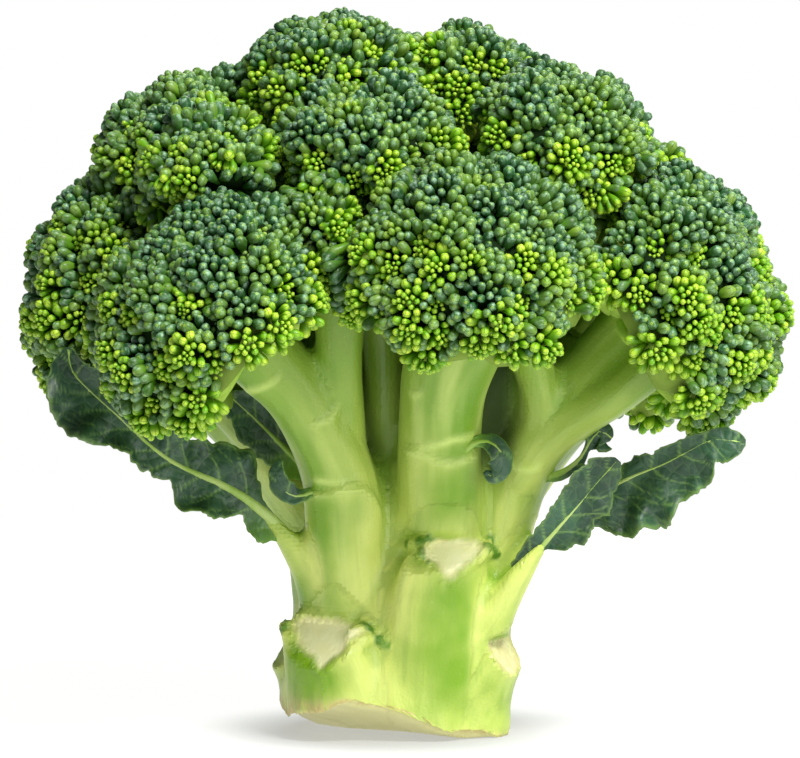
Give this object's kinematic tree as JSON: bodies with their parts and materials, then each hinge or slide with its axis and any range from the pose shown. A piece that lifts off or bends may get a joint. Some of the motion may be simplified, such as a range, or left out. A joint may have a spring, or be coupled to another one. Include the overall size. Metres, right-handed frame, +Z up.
{
  "type": "broccoli head",
  "caption": "Head of broccoli standing on its cut stalk, with domed florets of small buds on forked branches, stubs of cut-off leaves and a few small leaves.",
  "frame": {"origin": "near the middle of the flat of the stalk's cut end, on the surface that the head stands on", "axes": "+Z up from the cut end to the crown; X across the head; -Y towards the side with the two largest leaf stubs"},
  "size_m": [0.1616, 0.1455, 0.152],
  "materials": {
    "stalk_skin": "satin",
    "buds": "matt",
    "leaf": "matt"
  },
  "bodies": {
    "root": {"stalk": "stalk_skin", "floret_front": "buds", "floret_front_left": "buds", "floret_left": "buds", "floret_back_left": "buds", "floret_back": "buds", "floret_back_right": "buds", "floret_right": "buds", "floret_between": "buds", "floret_upper_left_front": "buds", "floret_upper_front": "buds", "floret_upper_right_front": "buds", "floret_upper_left": "buds", "floret_upper_right": "buds", "floret_upper_back_left": "buds", "floret_upper_back": "buds", "floret_top": "buds", "floret_top_right": "buds", "leaf_left": "leaf", "leaf_right": "leaf", "leaf_right_small": "leaf", "bract_right": "leaf", "curl_front": "leaf", "curl_left": "leaf", "leaf_inner_left": "leaf"}
  },
  "joints": []
}
